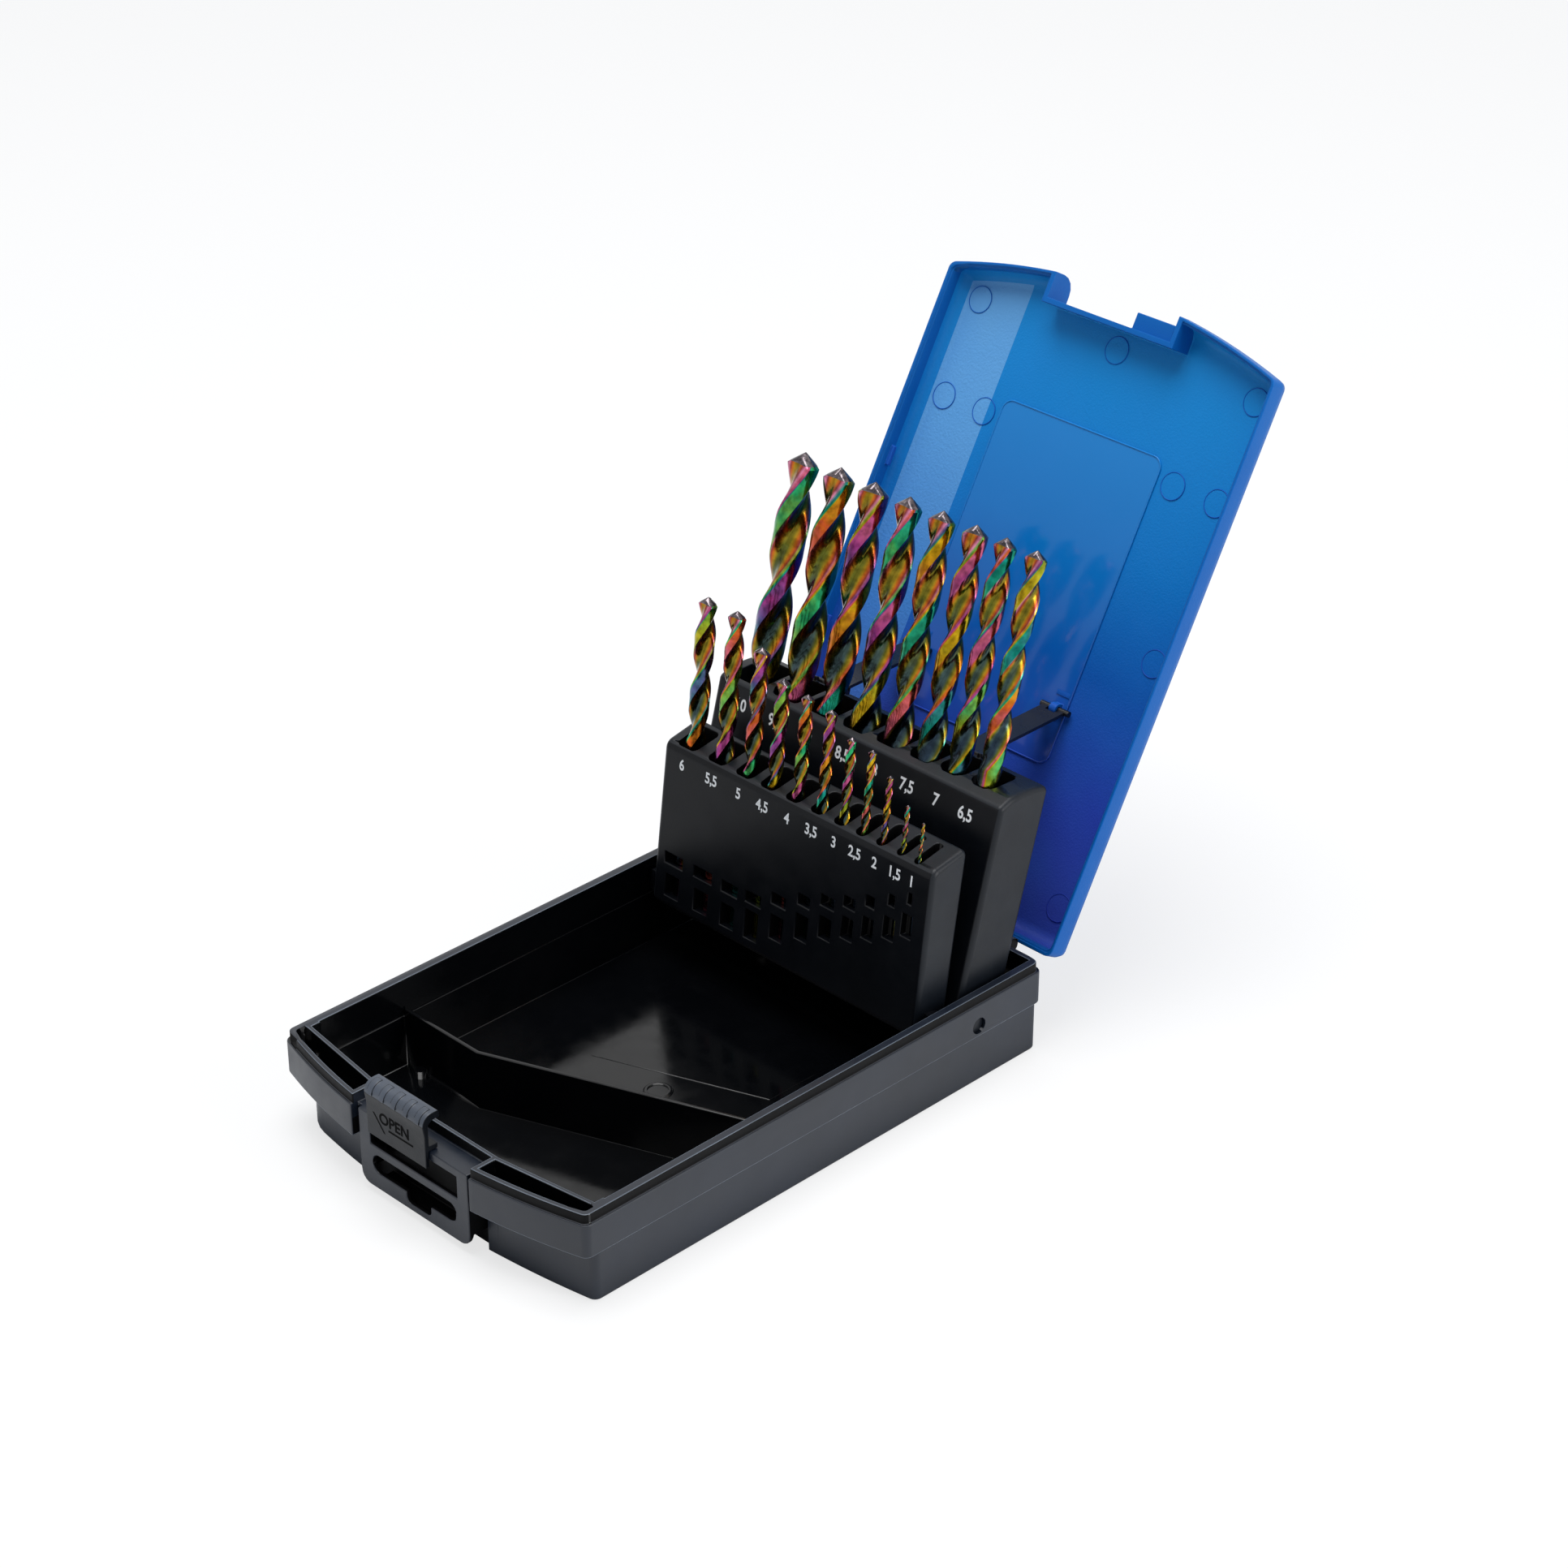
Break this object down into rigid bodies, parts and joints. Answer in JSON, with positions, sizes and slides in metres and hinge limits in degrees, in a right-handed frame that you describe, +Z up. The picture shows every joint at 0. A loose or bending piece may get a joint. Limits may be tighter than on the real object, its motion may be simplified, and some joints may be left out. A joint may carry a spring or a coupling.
{
  "type": "drill bit case",
  "caption": "Hinged plastic drill case with two folding racks of graded twist drills and a sliding front latch, shown open.",
  "frame": {"origin": "centre of the base's underside, midway between the straight sides and between the front corners and the rear wall", "axes": "+Z up, +X to the viewer's right when facing the latch, -Y towards the latch, +Y towards the lid hinge"},
  "size_m": [0.1216, 0.2781, 0.1843],
  "materials": {
    "case": "black moulded plastic, satin",
    "lid": "blue moulded plastic, fine spark texture with a smooth panel",
    "latch": "black moulded plastic, satin",
    "rack": "black moulded plastic",
    "arm": "black moulded plastic",
    "drill_steel": "ground high-speed steel with an iridescent temper skin"
  },
  "bodies": {
    "base": {"base": "case"},
    "lid": {"lid": "lid"},
    "latch": {"latch": "latch"},
    "front_rack": {"front_rack": "rack"},
    "rear_rack": {"rear_rack": "rack"},
    "link_arm_left": {"link_arm_left": "arm"},
    "link_arm_right": {"link_arm_right": "arm"},
    "drill_10": {"drill_10": "drill_steel"},
    "drill_9_5": {"drill_9_5": "drill_steel"},
    "drill_9": {"drill_9": "drill_steel"},
    "drill_8_5": {"drill_8_5": "drill_steel"},
    "drill_8": {"drill_8": "drill_steel"},
    "drill_7_5": {"drill_7_5": "drill_steel"},
    "drill_7": {"drill_7": "drill_steel"},
    "drill_6_5": {"drill_6_5": "drill_steel"},
    "drill_6": {"drill_6": "drill_steel"},
    "drill_5_5": {"drill_5_5": "drill_steel"},
    "drill_5": {"drill_5": "drill_steel"},
    "drill_4_5": {"drill_4_5": "drill_steel"},
    "drill_4": {"drill_4": "drill_steel"},
    "drill_3_5": {"drill_3_5": "drill_steel"},
    "drill_3": {"drill_3": "drill_steel"},
    "drill_2_5": {"drill_2_5": "drill_steel"},
    "drill_2": {"drill_2": "drill_steel"},
    "drill_1_5": {"drill_1_5": "drill_steel"},
    "drill_1": {"drill_1": "drill_steel"}
  },
  "joints": [
    {"name": "lid_hinge", "type": "hinge", "parent": "base", "child": "lid", "pos_m": [0, 0.0869, 0.028], "axis": [-1, 0, 0], "range_deg": [-119.6, 0]},
    {"name": "rear_rack_turn", "type": "hinge", "parent": "base", "child": "rear_rack", "pos_m": [0, 0.0599, 0.0194], "axis": [-1, 0, 0], "range_deg": [-103.6, 0]},
    {"name": "front_rack_turn", "type": "hinge", "parent": "base", "child": "front_rack", "pos_m": [0, 0.0599, 0.0194], "axis": [-1, 0, 0], "range_deg": [-97.25, 0]},
    {"name": "arm_left_turn", "type": "hinge", "parent": "lid", "child": "link_arm_left", "pos_m": [-0.027, 0.12596, 0.08057], "axis": [-1, 0, 0], "range_deg": [0, 118.63]},
    {"name": "arm_right_turn", "type": "hinge", "parent": "lid", "child": "link_arm_right", "pos_m": [0.027, 0.12596, 0.08057], "axis": [-1, 0, 0], "range_deg": [0, 118.63]},
    {"name": "latch_slide", "type": "slide", "parent": "base", "child": "latch", "axis": [1, 0, 0], "range_m": [0, 0.0158]},
    {"name": "drill_10_lift", "type": "slide", "parent": "rear_rack", "child": "drill_10", "axis": [0, 0.2588, 0.9659], "range_m": [0, 0.062]},
    {"name": "drill_9_5_lift", "type": "slide", "parent": "rear_rack", "child": "drill_9_5", "axis": [0, 0.2588, 0.9659], "range_m": [0, 0.054]},
    {"name": "drill_9_lift", "type": "slide", "parent": "rear_rack", "child": "drill_9", "axis": [0, 0.2588, 0.9659], "range_m": [0, 0.054]},
    {"name": "drill_8_5_lift", "type": "slide", "parent": "rear_rack", "child": "drill_8_5", "axis": [0, 0.2588, 0.9659], "range_m": [0, 0.046]},
    {"name": "drill_8_lift", "type": "slide", "parent": "rear_rack", "child": "drill_8", "axis": [0, 0.2588, 0.9659], "range_m": [0, 0.046]},
    {"name": "drill_7_5_lift", "type": "slide", "parent": "rear_rack", "child": "drill_7_5", "axis": [0, 0.2588, 0.9659], "range_m": [0, 0.038]},
    {"name": "drill_7_lift", "type": "slide", "parent": "rear_rack", "child": "drill_7", "axis": [0, 0.2588, 0.9659], "range_m": [0, 0.038]},
    {"name": "drill_6_5_lift", "type": "slide", "parent": "rear_rack", "child": "drill_6_5", "axis": [0, 0.2588, 0.9659], "range_m": [0, 0.03]},
    {"name": "drill_6_lift", "type": "slide", "parent": "front_rack", "child": "drill_6", "axis": [0, 0.1262, 0.992], "range_m": [0, 0.0453]},
    {"name": "drill_5_5_lift", "type": "slide", "parent": "front_rack", "child": "drill_5_5", "axis": [0, 0.1262, 0.992], "range_m": [0, 0.0453]},
    {"name": "drill_5_lift", "type": "slide", "parent": "front_rack", "child": "drill_5", "axis": [0, 0.1262, 0.992], "range_m": [0, 0.0453]},
    {"name": "drill_4_5_lift", "type": "slide", "parent": "front_rack", "child": "drill_4_5", "axis": [0, 0.1262, 0.992], "range_m": [0, 0.0452]},
    {"name": "drill_4_lift", "type": "slide", "parent": "front_rack", "child": "drill_4", "axis": [0, 0.1262, 0.992], "range_m": [0, 0.0413]},
    {"name": "drill_3_5_lift", "type": "slide", "parent": "front_rack", "child": "drill_3_5", "axis": [0, 0.1262, 0.992], "range_m": [0, 0.0373]},
    {"name": "drill_3_lift", "type": "slide", "parent": "front_rack", "child": "drill_3", "axis": [0, 0.1262, 0.992], "range_m": [0, 0.0332]},
    {"name": "drill_2_5_lift", "type": "slide", "parent": "front_rack", "child": "drill_2_5", "axis": [0, 0.1262, 0.992], "range_m": [0, 0.0298]},
    {"name": "drill_2_lift", "type": "slide", "parent": "front_rack", "child": "drill_2", "axis": [0, 0.1262, 0.992], "range_m": [0, 0.0266]},
    {"name": "drill_1_5_lift", "type": "slide", "parent": "front_rack", "child": "drill_1_5", "axis": [0, 0.1262, 0.992], "range_m": [0, 0.0233]},
    {"name": "drill_1_lift", "type": "slide", "parent": "front_rack", "child": "drill_1", "axis": [0, 0.1262, 0.992], "range_m": [0, 0.02]}
  ],
  "couplings": [
    {"joint": "rear_rack_turn", "follows": "lid_hinge", "ratio": 0.86622},
    {"joint": "front_rack_turn", "follows": "lid_hinge", "ratio": 0.81313},
    {"joint": "arm_left_turn", "follows": "lid_hinge", "ratio": -0.99191},
    {"joint": "arm_right_turn", "follows": "lid_hinge", "ratio": -0.99191}
  ]
}
